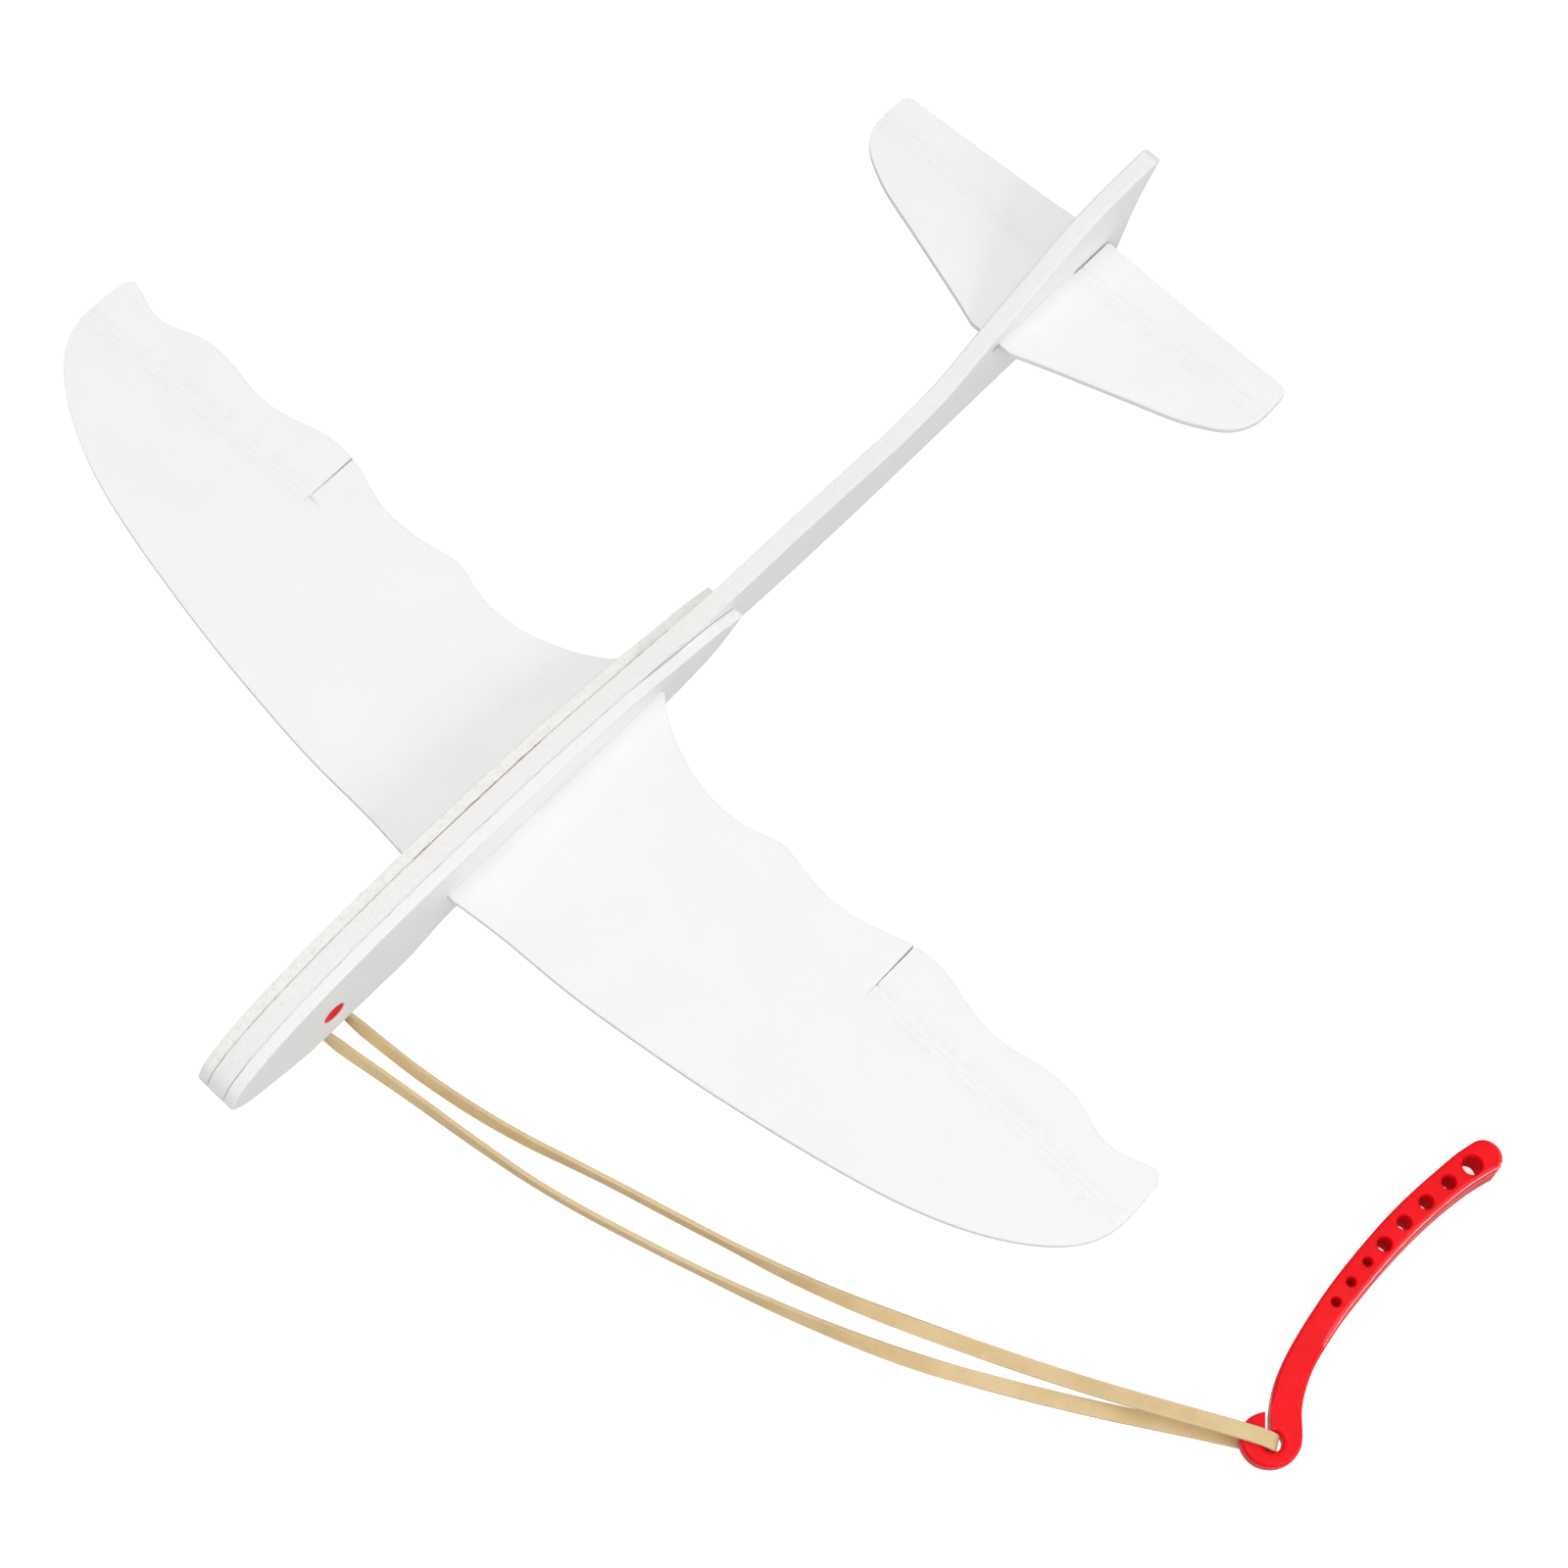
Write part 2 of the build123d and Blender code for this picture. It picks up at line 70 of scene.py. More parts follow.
# --------------------------------------------------------------- materials
class Nodes:
    """Short names for building a material's nodes."""

    def __init__(self, name):
        self.mat = bpy.data.materials.new(name)
        self.mat.use_nodes = True
        self.tree = self.mat.node_tree
        self.tree.nodes.clear()
        self.out = self.tree.nodes.new("ShaderNodeOutputMaterial")
        self.shader = self.tree.nodes.new("ShaderNodeBsdfPrincipled")
        self.tree.links.new(self.shader.outputs[0], self.out.inputs[0])
        self.where = self.tree.nodes.new("ShaderNodeTexCoord").outputs["Object"]

    def put(self, socket, value):
        if isinstance(value, bpy.types.NodeSocket):
            self.tree.links.new(value, socket)
        else:
            socket.default_value = value

    def set(self, **values):
        for key, value in values.items():
            self.put(self.shader.inputs[key.replace("_", " ")], value)

    def noise(self, scale, detail=2.0, rough=0.5, distort=0.0, vector=None):
        n = self.tree.nodes.new("ShaderNodeTexNoise")
        self.put(n.inputs["Vector"], vector or self.where)
        n.inputs["Scale"].default_value = scale
        n.inputs["Detail"].default_value = detail
        n.inputs["Roughness"].default_value = rough
        n.inputs["Distortion"].default_value = distort
        return n.outputs["Fac"]

    def cells(self, scale, feature="F1", out="Distance", vector=None):
        n = self.tree.nodes.new("ShaderNodeTexVoronoi")
        n.feature = feature
        self.put(n.inputs["Vector"], vector or self.where)
        n.inputs["Scale"].default_value = scale
        return n.outputs[out]

    def stretch(self, factors):
        n = self.tree.nodes.new("ShaderNodeVectorMath")
        n.operation = "MULTIPLY"
        self.put(n.inputs[0], self.where)
        n.inputs[1].default_value = factors
        return n.outputs[0]

    def math(self, op, a, b=0.0, c=0.0, clamp=False):
        n = self.tree.nodes.new("ShaderNodeMath")
        n.operation = op
        n.use_clamp = clamp
        self.put(n.inputs[0], a)
        self.put(n.inputs[1], b)
        self.put(n.inputs[2], c)
        return n.outputs[0]

    def span(self, value, a, b, lo=0.0, hi=1.0, smooth=True):
        n = self.tree.nodes.new("ShaderNodeMapRange")
        n.interpolation_type = "SMOOTHSTEP" if smooth else "LINEAR"
        self.put(n.inputs["Value"], value)
        n.inputs["From Min"].default_value = a
        n.inputs["From Max"].default_value = b
        n.inputs["To Min"].default_value = lo
        n.inputs["To Max"].default_value = hi
        return n.outputs[0]

    def mix(self, factor, a, b, kind="MIX"):
        n = self.tree.nodes.new("ShaderNodeMix")
        n.data_type = "RGBA"
        n.blend_type = kind
        self.put(n.inputs[0], factor)
        for socket, value in ((n.inputs[6], a), (n.inputs[7], b)):
            if isinstance(value, tuple):
                value = tuple(value) + (1.0,) * (4 - len(value))
            self.put(socket, value)
        return n.outputs[2]

    def paint(self, name):
        n = self.tree.nodes.new("ShaderNodeAttribute")
        n.attribute_name = name
        return n.outputs["Fac"]

    def axis(self, which):
        n = self.tree.nodes.new("ShaderNodeSeparateXYZ")
        self.put(n.inputs[0], self.where)
        return n.outputs[which]

    def bump(self, height, distance, strength=1.0, after=None):
        n = self.tree.nodes.new("ShaderNodeBump")
        n.inputs["Strength"].default_value = strength
        n.inputs["Distance"].default_value = distance
        self.put(n.inputs["Height"], height)
        if after is not None:
            self.put(n.inputs["Normal"], after)
        return n.outputs[0]


def foam(name, tone, rim_tone, rim_speck, speck_tint, stain=None):
    """Closed-cell foam: fine cells, soft mottling, and a rougher cut rim."""
    m = Nodes(name)
    rim = m.paint("rim")
    cloud = m.span(m.noise(55, 3, 0.55), 0.35, 0.65)
    skin = m.mix(cloud, tuple(c * 0.985 for c in tone), tone)
    pores = m.span(m.cells(1500), 0.0, 0.32, 1.0, 0.0)
    grain = m.noise(2600, 2, 0.6)
    skin = m.mix(m.math("MULTIPLY", pores, 0.10), skin,
                 tuple(c * 0.80 for c in tone))
    # cut rim: torn cells and a little dust
    cut = m.mix(m.span(m.noise(700, 4, 0.65), 0.42, 0.68), rim_tone,
                tuple(c * speck_tint[i] for i, c in enumerate(rim_tone)))
    pits = m.span(m.cells(1150), 0.0, 0.26, 1.0, 0.0)
    cut = m.mix(m.math("MULTIPLY", pits, rim_speck), cut,
                tuple(c * 0.62 for c in rim_tone))
    colour = m.mix(rim, skin, cut)
    # painted shade, painted on the vertices: a darker tone where shade falls, beside
    # the fuselage on the wing and in the crease grooves
    colour = m.mix(m.paint("painted_shade"), colour, tuple(c * 0.55 for c in tone))
    m.set(Base_Color=colour,
          Roughness=m.span(m.noise(480, 3, 0.6), 0.3, 0.7, 0.58, 0.78))
    m.set(Specular_IOR_Level=0.35, Subsurface_Weight=0.08,
          Subsurface_Scale=0.0015)
    fine = m.bump(m.math("ADD", grain, m.math("MULTIPLY", pores, 0.7)),
                  0.00006, 0.35)
    deep = m.math("MULTIPLY", rim, m.math("ADD", pits, m.noise(1500, 3, 0.7)))
    rough = m.bump(deep, 0.00022, 0.5, fine)
    wave = m.bump(m.noise(38, 2, 0.5), 0.0006, 0.22, rough)
    m.set(Normal=wave)
    return m.mat


FOAM = (0.875, 0.872, 0.868)
foam_core = foam("foam_core", FOAM, (0.850, 0.842, 0.832), 0.10,
                 (0.985, 0.98, 0.965))
# the port cheek's base tone is set a little darker than the starboard cheek's:
# painted shade on that side
foam_port_shaded = foam("foam_cheek_port_painted_shade", (0.860, 0.859, 0.856),
                 (0.885, 0.882, 0.876), 0.06, (0.99, 0.985, 0.97))
foam_star = foam("foam_cheek_starboard", FOAM, (0.862, 0.862, 0.838), 0.60,
                 (0.93, 0.925, 0.85))
foam_sheet = foam("foam_sheet", (0.880, 0.879, 0.876), (0.855, 0.852, 0.845),
                  0.14, (0.985, 0.98, 0.96))


def red_plastic(name, worn_to, shine, coat, depth):
    """Injection-moulded red plastic, with a faint orange peel."""
    m = Nodes(name)
    rim = m.paint("rim")
    swirl = m.span(m.noise(90, 3, 0.6, 0.4), 0.3, 0.7)
    colour = m.mix(swirl, (0.80, 0.002, 0.006), (0.90, 0.004, 0.010))
    specks = m.span(m.cells(900), 0.0, 0.12, 1.0, 0.0)
    colour = m.mix(m.math("MULTIPLY", specks, 0.18), colour,
                   (0.92, 0.09, 0.10))
    m.set(Base_Color=colour)
    worn = m.span(m.noise(260, 4, 0.6), 0.35, 0.7, *worn_to)
    m.set(Roughness=m.math("SUBTRACT", worn, m.math("MULTIPLY", rim, 0.08)))
    m.set(Specular_IOR_Level=shine, Subsurface_Weight=0.30,
          Subsurface_Scale=0.004, Subsurface_Radius=(1.0, 0.06, 0.05),
          Coat_Weight=coat, Coat_Roughness=0.10)
    peel = m.bump(m.noise(820, 2, 0.45), 0.00010, 0.5 * depth)
    fine = m.bump(m.noise(3200, 2, 0.6), 0.00003, 0.35 * depth, peel)
    sink = m.bump(m.noise(110, 1, 0.4), 0.0005, 0.25 * depth, fine)
    m.set(Normal=sink)
    return m.mat


def band_rubber():
    m = Nodes("band_rubber")
    across = m.math("ABSOLUTE", m.paint("across"))
    edge = m.span(across, 0.62, 1.0)
    cloud = m.span(m.noise(120, 4, 0.6), 0.3, 0.7)
    middle = m.mix(cloud, (0.655, 0.480, 0.235), (0.725, 0.555, 0.295))
    colour = m.mix(m.math("MULTIPLY", edge, 0.35), middle,
                   (0.720, 0.600, 0.400))
    dust = m.span(m.noise(1900, 4, 0.7), 0.52, 0.74)
    colour = m.mix(m.math("MULTIPLY", dust, 0.30), colour,
                   (0.760, 0.680, 0.500))
    m.set(Base_Color=colour,
          Roughness=m.span(m.noise(700, 3, 0.6), 0.3, 0.7, 0.42, 0.62))
    m.set(Specular_IOR_Level=0.4, Subsurface_Weight=0.25,
          Subsurface_Scale=0.0012, Sheen_Weight=0.08)
    # cutting marks run along the strip
    lines = m.noise(1.0, 3, 0.6, 0.0, m.stretch((300, 2600, 2600)))
    m.set(Normal=m.bump(m.noise(2300, 2, 0.5), 0.00005, 0.4,
                        m.bump(lines, 0.00008, 0.4)))
    return m.mat


def glue(name, light, dark):
    m = Nodes(name)
    m.set(Base_Color=m.mix(m.span(m.noise(420, 4, 0.6), 0.35, 0.65), light,
                           dark),
          Roughness=m.span(m.noise(900, 2), 0.3, 0.7, 0.28, 0.5))
    m.set(Subsurface_Weight=0.1, Subsurface_Scale=0.0008)
    m.set(Normal=m.bump(m.noise(1300, 3), 0.0001, 0.5))
    return m.mat


red = red_plastic("red_plastic", (0.34, 0.48), 0.14, 0.0, 1.0)
red_gloss = red_plastic("red_plastic_polished", (0.16, 0.24), 0.40, 1.0, 0.4)
red_bore = red_plastic("red_plastic_bore", (0.70, 0.85), 0.04, 0.0, 1.0)
rubber = band_rubber()
glue_brown = glue("adhesive", (0.42, 0.23, 0.11), (0.20, 0.09, 0.04))
glue_grey = glue("adhesive_grey", (0.78, 0.78, 0.77), (0.66, 0.66, 0.65))
glue_tan = glue("adhesive_tan", (0.70, 0.67, 0.60), (0.48, 0.43, 0.35))


# ------------------------------------------------------------- mesh helpers
def spline(points, step=0.8, first=None, last=None):
    """Cubic spline through the points, chord-length parameters."""
    p = np.array(points, float)
    h = np.linalg.norm(np.diff(p, axis=0), axis=1)
    t = np.concatenate([[0.0], np.cumsum(h)])
    n = len(p)
    a = np.zeros((n, n))
    b = np.zeros((n, 2))
    for i in range(1, n - 1):
        a[i, i - 1:i + 2] = h[i - 1], 2 * (h[i - 1] + h[i]), h[i]
        b[i] = 6 * ((p[i + 1] - p[i]) / h[i] - (p[i] - p[i - 1]) / h[i - 1])
    if first is None:
        a[0, 0] = 1
    else:
        a[0, :2] = 2 * h[0], h[0]
        b[0] = 6 * ((p[1] - p[0]) / h[0] - np.array(first))
    if last is None:
        a[-1, -1] = 1
    else:
        a[-1, -2:] = h[-1], 2 * h[-1]
        b[-1] = 6 * (np.array(last) - (p[-1] - p[-2]) / h[-1])
    m = np.linalg.solve(a, b)
    s = np.linspace(0, t[-1], max(2, int(t[-1] / step) + 1))
    i = np.clip(np.searchsorted(t, s, side="right") - 1, 0, n - 2)
    u, v = (t[i + 1] - s) / h[i], (s - t[i]) / h[i]
    return (u[:, None] * p[i] + v[:, None] * p[i + 1]
            + ((u ** 3 - u)[:, None] * m[i] + (v ** 3 - v)[:, None] * m[i + 1])
            * (h[i] ** 2)[:, None] / 6)


def line(p, q, step=1.2):
    p, q = np.array(p, float), np.array(q, float)
    return np.linspace(p, q, max(2, int(np.linalg.norm(q - p) / step) + 1))


def arc(p, q, r, step=0.4):
    """Circular arc from p through q to r."""
    p, q, r = (np.array(v, float) for v in (p, q, r))
    m = np.array([q - p, r - p]) * 2
    c = np.linalg.solve(m, [q @ q - p @ p, r @ r - p @ p])
    ang = [math.atan2(*(v - c)[::-1]) for v in (p, q, r)]
    a0, a1, a2 = ang
    way = (a2 - a0) % (2 * math.pi)
    if (a1 - a0) % (2 * math.pi) > way:
        way -= 2 * math.pi
    rad = np.linalg.norm(p - c)
    t = a0 + np.linspace(0, 1, max(3, int(abs(way) * rad / step) + 1)) * way
    return c + rad * np.stack([np.cos(t), np.sin(t)], 1)


def circle(c, r, count=48, clockwise=True):
    t = np.linspace(0, 2 * math.pi, count, endpoint=False)
    t = -t if clockwise else t
    return np.array(c) + r * np.stack([np.cos(t), np.sin(t)], 1)


def join(*parts):
    """One closed loop from (points, rounding) parts."""
    pts, rad = [], []
    for part, r in parts:
        r = r(part) if callable(r) else np.full(len(part), float(r))
        for p, k in zip(part, r):
            if pts and np.linalg.norm(np.array(pts[-1]) - p) < 1e-3:
                rad[-1] = min(rad[-1], k)
                continue
            pts.append(tuple(p))
            rad.append(k)
    while np.linalg.norm(np.array(pts[0]) - pts[-1]) < 1e-3:
        pts.pop()
        rad[0] = min(rad[0], rad.pop())
    return np.array(pts), np.array(rad)


def area(loop):
    x, y = loop[:, 0], loop[:, 1]
    return 0.5 * np.sum(x * np.roll(y, -1) - np.roll(x, -1) * y)


def inside(points, loop):
    x, y = points[:, 0][:, None], points[:, 1][:, None]
    x0, y0 = loop[:, 0][None], loop[:, 1][None]
    x1, y1 = np.roll(loop[:, 0], -1)[None], np.roll(loop[:, 1], -1)[None]
    hit = ((y0 > y) != (y1 > y))
    with np.errstate(divide="ignore", invalid="ignore"):
        at = (x1 - x0) * (y - y0) / (y1 - y0) + x0
    return (np.sum(hit & (x < at), 1) % 2).astype(bool)


def inset(loop, by):
    """Points moved to their left by the distances in by, with mitres."""
    d = np.roll(loop, -1, 0) - loop
    d /= np.maximum(np.linalg.norm(d, axis=1), 1e-9)[:, None]
    left = np.stack([-d[:, 1], d[:, 0]], 1)
    m = left + np.roll(left, 1, 0)
    m /= np.maximum(np.linalg.norm(m, axis=1), 1e-9)[:, None]
    scale = 1 / np.maximum(np.sum(m * left, 1), 0.6)
    return loop + m * (scale * by)[:, None]


def finish_mesh(name, bm, mat, body=None, sharp=38, more=()):
    mesh = bpy.data.meshes.new(name)
    bm.to_mesh(mesh)
    bm.free()
    for one in (mat, *more):
        mesh.materials.append(one)
    for poly in mesh.polygons:
        poly.use_smooth = True
    mesh.set_sharp_from_angle(angle=math.radians(sharp))
    obj = bpy.data.objects.new(name, mesh)
    scene.collection.objects.link(obj)
    mod = obj.modifiers.new("even_normals", "WEIGHTED_NORMAL")
    mod.keep_sharp = True
    mod.weight = 100
    if body:
        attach(obj, body)
    return obj


def slab(name, loops, low, high, place, mat, body=None, grid=4.0,
         steps=4, painted_shade=None, share=(1.0, 1.0), more=(), pick=None):
    """A plate cut to an outline with holes, with its rims rounded. Heights may
    be functions of the outline's two coordinates. share scales the rounding
    of the low and of the high side. pick gives a rim face's material among
    mat and more, from its loop and its place."""
    lo = low if callable(low) else (lambda p: np.full(len(p), float(low)))
    hi = high if callable(high) else (lambda p: np.full(len(p), float(high)))
    bm = bmesh.new()
    rim_l = bm.verts.layers.float.new("rim")
    # per-vertex painted shade: zero keeps the foam's colour, higher values darken it
    # where shade falls
    painted_shade_layer = bm.verts.layers.float.new("painted_shade")

    def vert(p, z, rim):
        v = bm.verts.new(Vector(place(p[0], p[1], z)) * MM)
        v[rim_l] = rim
        v[painted_shade_layer] = painted_shade(p, z) if painted_shade else 0.0
        return v

    caps = []
    for k, (loop, rad) in enumerate(loops):
        rad = np.full(len(loop), float(rad)) if np.isscalar(rad) else rad
        if (area(loop) > 0) != (k == 0):
            loop, rad = loop[::-1].copy(), rad[::-1].copy()
        rings = []
        angles = np.linspace(0, math.pi / 2, steps + 1)
        for side in ("low", "high"):
            order = angles[::-1] if side == "low" else angles
            part_rad = rad * share[0 if side == "low" else 1]
            for q in order:
                p = inset(loop, part_rad * (1 - math.cos(q)))
                off = part_rad * (1 - math.sin(q))
                z = lo(loop) + off if side == "low" else hi(loop) - off
                if q == angles[-1]:
                    z = lo(p) if side == "low" else hi(p)
                worn = 1.0 - 0.9 * (q / (math.pi / 2)) ** 2
                rings.append([vert(a, b, worn) for a, b in zip(p, z)])
        for r0, r1 in zip(rings, rings[1:]):
            for i in range(len(r0)):
                j = (i + 1) % len(r0)
                f = bm.faces.new((r0[i], r0[j], r1[j], r1[i]))
                if pick:
                    f.material_index = pick(k, r0[i].co / MM)
        caps.append((inset(loop, rad * share[0]), inset(loop, rad * share[1])))
    for at_side, (fn, flip) in enumerate(((lo, True), (hi, False))):
        cap_face(bm, [c[at_side] for c in caps], fn, flip, grid, vert)
    bmesh.ops.remove_doubles(bm, verts=bm.verts, dist=2e-6)
    bmesh.ops.dissolve_degenerate(bm, edges=bm.edges, dist=1e-7)
    bmesh.ops.recalc_face_normals(bm, faces=bm.faces)
    return finish_mesh(name, bm, mat, body, more=more)


def cap_face(bm, caps, fn, flip, grid, vert):
    """Fills the flat of a plate with even triangles."""
    flat = np.concatenate(caps)
    edges, at = [], 0
    for c in caps:
        edges += [(at + i, at + (i + 1) % len(c)) for i in range(len(c))]
        at += len(c)
    x = np.arange(flat[:, 0].min() + grid / 2, flat[:, 0].max(), grid)
    y = np.arange(flat[:, 1].min() + grid / 2, flat[:, 1].max(), grid)
    if len(x) and len(y):
        mesh_pts = np.stack(np.meshgrid(x, y), -1).reshape(-1, 2)
        ok = inside(mesh_pts, caps[0])
        for c in caps[1:]:
            ok &= ~inside(mesh_pts, c)
        mesh_pts = mesh_pts[ok]
        if len(mesh_pts):
            gap = np.min(np.linalg.norm(mesh_pts[:, None] - flat[None],
                                        axis=2), 1)
            flat = np.concatenate([flat, mesh_pts[gap > 0.4 * grid]])
    out = geometry.delaunay_2d_cdt([Vector(p) for p in flat], edges, [], 0,
                                   1e-6)
    verts = np.array([tuple(v) for v in out[0]])
    tris = np.array([list(f) for f in out[2]])
    mid = verts[tris].mean(1)
    ok = inside(mid, caps[0])
    for c in caps[1:]:
        ok &= ~inside(mid, c)
    tris = tris[ok]
    z = fn(verts)
    made = {}
    for tri in tris:
        ids = tri[::-1] if flip else tri
        a, b, c = (verts[i] for i in tri)
        if abs((b[0] - a[0]) * (c[1] - a[1])
               - (b[1] - a[1]) * (c[0] - a[0])) < 1e-9:
            continue
        for i in ids:
            if i not in made:
                made[i] = vert(verts[i], z[i], 0.0)
        bm.faces.new([made[i] for i in ids])


def flat_place(x, y, z):
    return (x, y, z)


def mirror_place(x, y, z):
    return (-x, y, z)


def side_place(y, z, x):
    return (x, y, z)


def tube(name, path, radius, mat, body, sides=10):
    """A thin bead along a path, in mm, of uneven thickness."""
    path = np.array(path, float)
    t = np.gradient(path, axis=0)
    t /= np.linalg.norm(t, axis=1)[:, None]
    bm = bmesh.new()
    rings = []
    for i, (p, d) in enumerate(zip(path, t)):
        a = np.cross(d, (1.0, 0.0, 0.0))
        a /= np.linalg.norm(a)
        b = np.cross(d, a)
        r = radius[i]
        rings.append([bm.verts.new(Vector(p + r * (a * math.cos(q)
                                                   + b * math.sin(q))) * MM)
                      for q in np.linspace(0, 2 * math.pi, sides,
                                           endpoint=False)])
    for r0, r1 in zip(rings, rings[1:]):
        for i in range(sides):
            j = (i + 1) % sides
            bm.faces.new((r0[i], r0[j], r1[j], r1[i]))
    bm.faces.new(rings[0][::-1])
    bm.faces.new(rings[-1])
    bmesh.ops.recalc_face_normals(bm, faces=bm.faces)
    return finish_mesh(name, bm, mat, body, 60)


# --------------------------------------------------------------------- band
# Control points of the loop, in metres: round the neck of the launch hook,
# out along the front strand, up through the eye of the grip's hook, and back.
BAND_ROUTE = [
    (-0.00329, -0.00033, 0.00240), (-0.00300, -0.00358, 0.00240),
    (0.0078, -0.0029, 0.00215), (0.0246, -0.0003, 0.00180),
    (0.0458, 0.0022, 0.00178), (0.0650, 0.00515, 0.00175),
    (0.0919, 0.01235, 0.00175), (0.1181, 0.0204, 0.00170),
    (0.1436, 0.0304, 0.00130), (0.1644, 0.0413, 0.00085),
    (0.1810, 0.0507, 0.00085), (0.1930, 0.0580, 0.00085),
    (0.2021, 0.0634, 0.00090), (0.2112, 0.0686, 0.00105),
    (0.2112, 0.0686, 0.00780), (0.2016, 0.0640, 0.00770),
    (0.1886, 0.0577, 0.00620), (0.1716, 0.0501, 0.00300),
    (0.1492, 0.0405, 0.00150), (0.1204, 0.0287, 0.00170),
    (0.0928, 0.0210, 0.00178), (0.0692, 0.0149, 0.00178),
    (0.0488, 0.0087, 0.00178), (0.0280, 0.0049, 0.00180),
    (0.0096, 0.00340, 0.00205), (-0.00358, 0.00300, 0.00240),
    (-0.003294, -0.00028, 0.00240),
]
curve = bpy.data.curves.new("band_route", "CURVE")
curve.dimensions = "3D"
part = curve.splines.new("NURBS")
part.points.add(len(BAND_ROUTE) - 1)
for point, at in zip(part.points, BAND_ROUTE):
    point.co = (*at, 1.0)
part.order_u = 3
part.use_endpoint_u = True
curve.resolution_u = 16
route = bpy.data.objects.new("band_route", curve)
scene.collection.objects.link(route)
bpy.context.view_layer.update()
read = bpy.data.meshes.new_from_object(route)
centre = np.array([tuple(v.co) for v in read.vertices])
bpy.data.meshes.remove(read)
bpy.data.objects.remove(route)

BAND_W, BAND_T = 3.5, 1.0
LEAN_FRONT = ([-5, 1, 8, 30, 60, 100, 125, 145, 162, 220],
              [0, 0, 38, 22, 6, 6, 30, 62, 88, 90])
LEAN_REAR = ([-5, 1, 9, 40, 70, 100, 122, 142, 160, 220],
             [0, 0, 42, 26, 8, 8, 36, 66, 88, 90])
far = int(np.argmax(centre[:, 0]))
tang = np.gradient(centre, axis=0)
tang /= np.linalg.norm(tang, axis=1)[:, None]
HALF = BAND_W / 2


def band_share(p):
    """The strip is squeezed a little narrower round the hook's neck."""
    return float(np.interp(math.hypot(p[0], p[1]), [0.018, 0.045],
                           [3.1 / BAND_W, 1.0]))


section = [(-1, -0.68), (-0.93, -1), (-0.6, -1), (0, -1), (0.6, -1),
           (0.93, -1), (1, -0.68), (1, 0.68), (0.93, 1), (0.6, 1), (0, 1),
           (-0.6, 1), (-0.93, 1), (-1, 0.68)]
bm = bmesh.new()
across_l = bm.verts.layers.float.new("across")
rings = []
for i, (p, d) in enumerate(zip(centre, tang)):
    x = p[0] / MM
    lean = math.radians(np.interp(x, *(LEAN_FRONT if i <= far
                                       else LEAN_REAR)))
    out = np.array([d[0], d[1], 0.0]) * (1 if i <= far else -1)
    hook_way = np.array([0.894, 0.447, 0.0])
    k = float(np.clip((x - 150) / 35, 0, 1))
    out = out * (1 - k) + hook_way * k
    out /= max(np.linalg.norm(out), 1e-6)
    level = np.array([-out[1], out[0], 0.0])
    w = math.cos(lean) * np.array([0, 0, 1.0]) + math.sin(lean) * level
    w -= (w @ d) * d
    w /= np.linalg.norm(w)
    n = np.cross(d, w)
    ring = []
    for a, b in section:
        v = bm.verts.new(Vector(p + (w * a * HALF * band_share(p)
                                + n * b * BAND_T / 2) * MM))
        v[across_l] = a
        ring.append(v)
    rings.append(ring)
for r0, r1 in zip(rings, rings[1:]):
    for i in range(len(section)):
        j = (i + 1) % len(section)
        bm.faces.new((r0[i], r0[j], r1[j], r1[i]))
bm.faces.new(rings[0][::-1])
bm.faces.new(rings[-1])
bmesh.ops.recalc_face_normals(bm, faces=bm.faces)
band = finish_mesh("band_strip", bm, rubber)
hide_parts("rubber_band")
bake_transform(band)


# ---------------------------------------------------------------- fuselage
BELLY_Z = 4.0
NOSE_BOTTOM = [(-29.5, 11.7), (-26.8, 9.2), (-20.9, 7.1), (-13.3, 5.0),
               (-8.5, BELLY_Z)]
CORE_TOP = [(-29.5, 13.0), (-27.6, 15.9), (-24.6, 18.0), (-20.0, 20.0),
            (-14.0, 21.9), (-4.5, 23.9), (3.5, 25.0), (15.5, 26.1),
            (35.5, 26.9), (56.5, 26.7), (71.5, 26.0), (86.5, 24.6),
            (96.5, 23.3), (105.5, 22.2), (119.5, 20.6), (131.5, 19.8),
            (143.5, 19.6), (153.5, 19.2), (165.5, 18.4), (176.5, 17.6),
            (182.5, 17.2), (188.5, 17.2), (194.5, 17.7), (200.0, 18.6),
            (204.9, 20.2), (214.5, 24.2), (221.5, 26.8), (228.5, 29.2),
            (234.5, 31.4), (241.5, 33.9), (248.5, 35.8), (258.5, 36.9),
            (269.0, 37.3)]
FIN_TE = [(272.2, 36.2), (267.3, 28.6), (264.2, 21.7), (260.4, 10.3),
          (258.0, BELLY_Z)]
BOOM_BOTTOM = [(175.5, BELLY_Z), (164.5, 4.3), (152, 4.8), (141, 5.5),
               (130.2, 6.5), (115, 7.1), (99.8, 7.3)]
BELLY_RISE = [(37.5, 7.3), (32.5, 6.95), (27.5, 5.65), (22.5, 4.35),
              (18.0, BELLY_Z)]
INSERT = [(7.2, 9.0), (8.8, 12.0), (8.6, 17.2), (5.0, 20.0), (-2.0, 19.8),
          (-7.0, 17.6), (-8.6, 12.0), (-7.2, 9.0)]


def fin_round(p):
    return np.interp(p[:, 0], [-40, 100, 130, 190, 215, 300],
                     [0.10, 0.10, 0.35, 0.4, 0.8, 0.9])


def rect(y0, y1, z0, z1):
    return join((line((y0, z0), (y1, z0)), 0.0), (line((y1, z0), (y1, z1)), 0),
                (line((y1, z1), (y0, z1)), 0), (line((y0, z1), (y0, z0)), 0))


